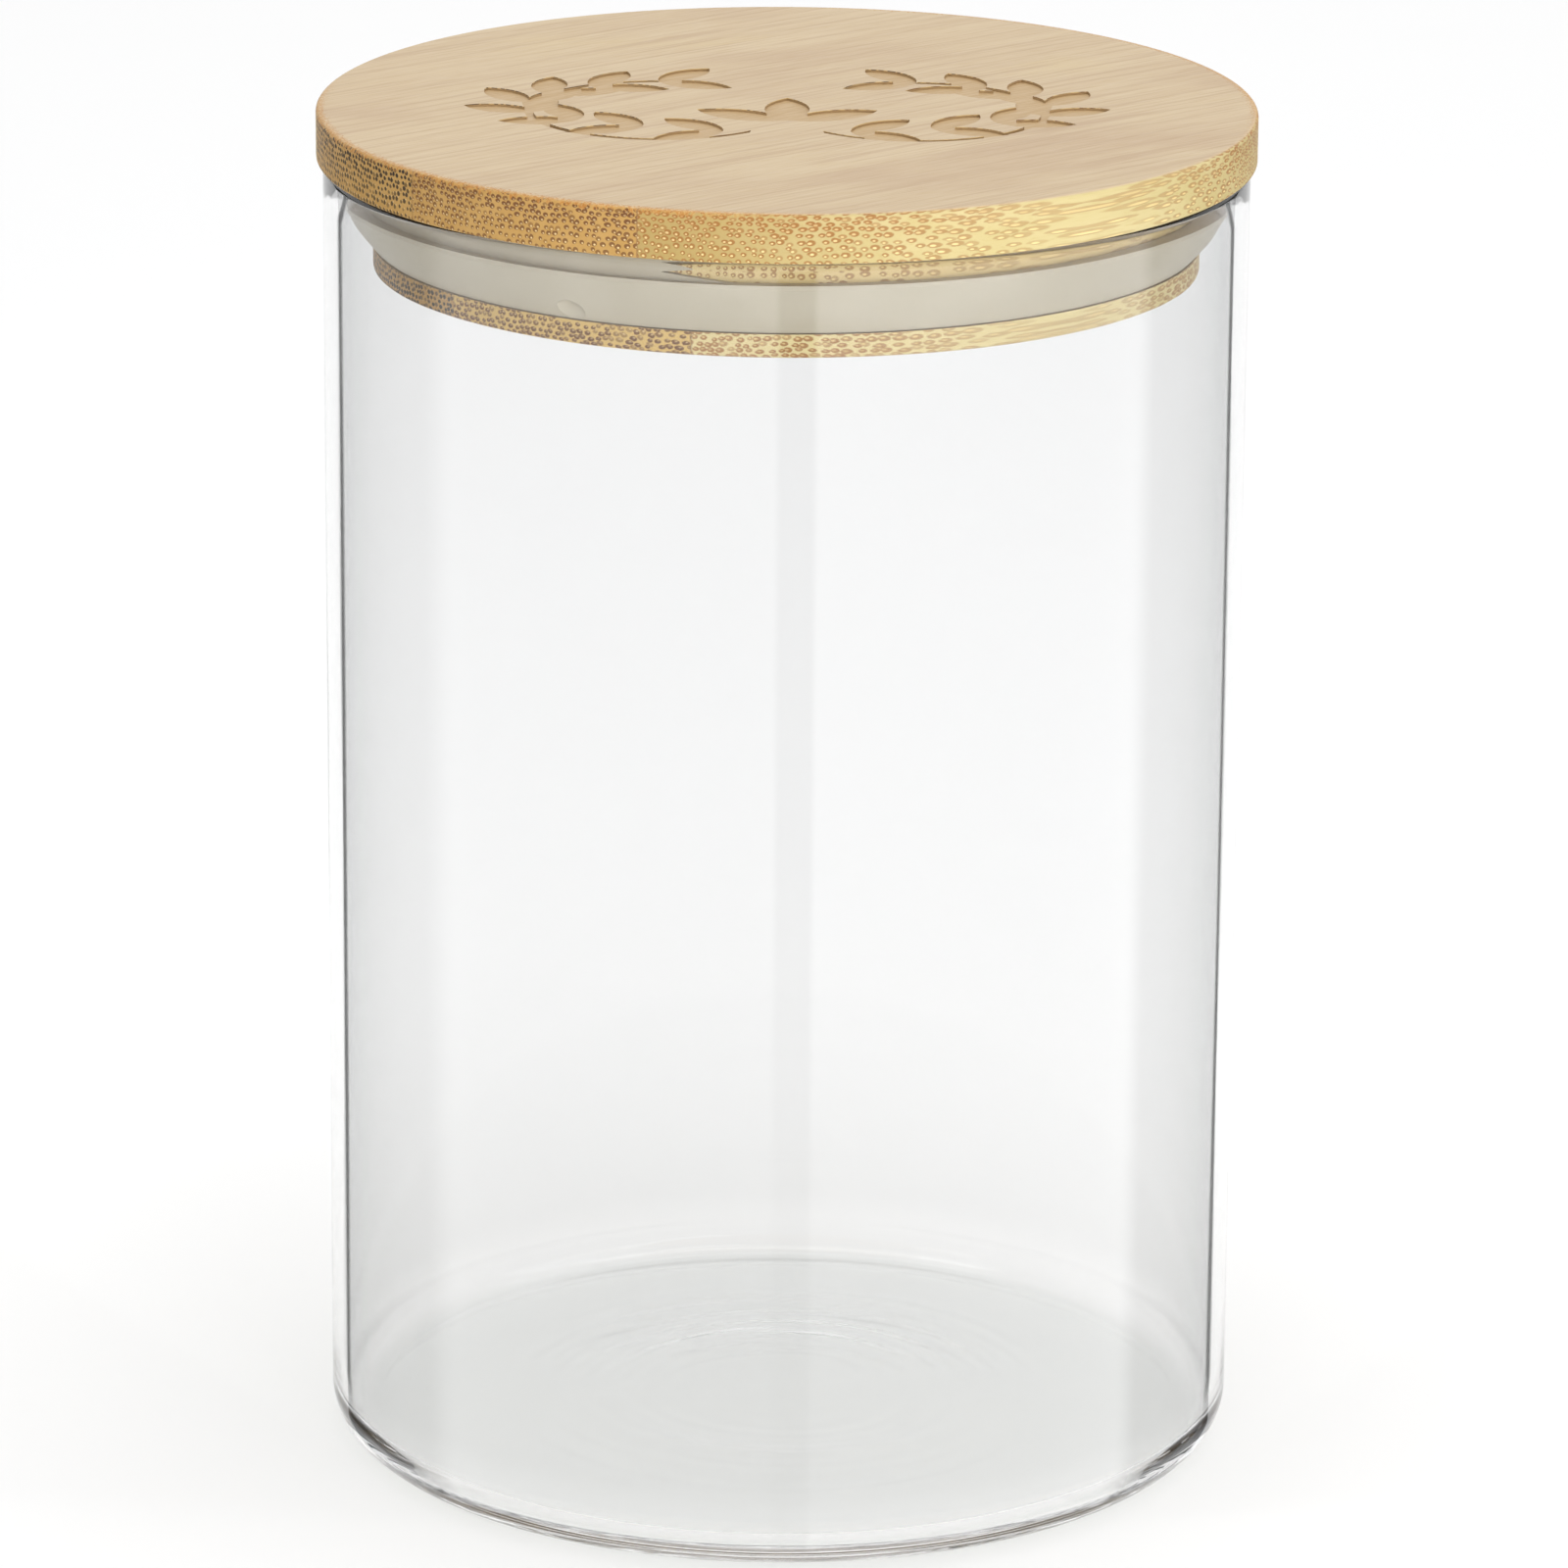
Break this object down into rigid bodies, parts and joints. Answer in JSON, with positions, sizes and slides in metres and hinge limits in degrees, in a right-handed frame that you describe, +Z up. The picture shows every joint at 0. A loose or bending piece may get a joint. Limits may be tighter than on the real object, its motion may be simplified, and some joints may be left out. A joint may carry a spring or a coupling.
{
  "type": "food canister",
  "caption": "Straight-sided clear glass food canister with a lift-off two-ply bamboo lid, a silicone skirt seal and a plain engraved wreath.",
  "frame": {"origin": "centre of the foot, on the surface the canister stands on", "axes": "+Z up along the jar's axis; -Y towards the front, the side the engraving reads from; +X to its right"},
  "size_m": [0.1014, 0.1014, 0.15],
  "materials": {
    "clear_glass": "fire-polished clear",
    "silicone": "translucent satin",
    "bamboo": "sanded, oiled"
  },
  "bodies": {
    "jar": {"glass_jar": "clear_glass"},
    "seal": {"silicone_seal": "silicone"},
    "lid": {"lid_top_strip_1": "bamboo", "lid_top_strip_2": "bamboo", "lid_top_strip_3": "bamboo", "lid_top_strip_4": "bamboo", "lid_plug_strip_1": "bamboo", "lid_plug_strip_2": "bamboo", "lid_plug_strip_3": "bamboo", "lid_plug_strip_4": "bamboo"}
  },
  "joints": [
    {"name": "lid_lift", "type": "slide", "parent": "jar", "child": "seal", "axis": [0, 0, 1], "range_m": [0, 0.12]},
    {"name": "lid_turn", "type": "hinge", "parent": "seal", "child": "lid", "pos_m": [0, 0, 0.15], "axis": [0, 0, 1], "continuous": true}
  ]
}
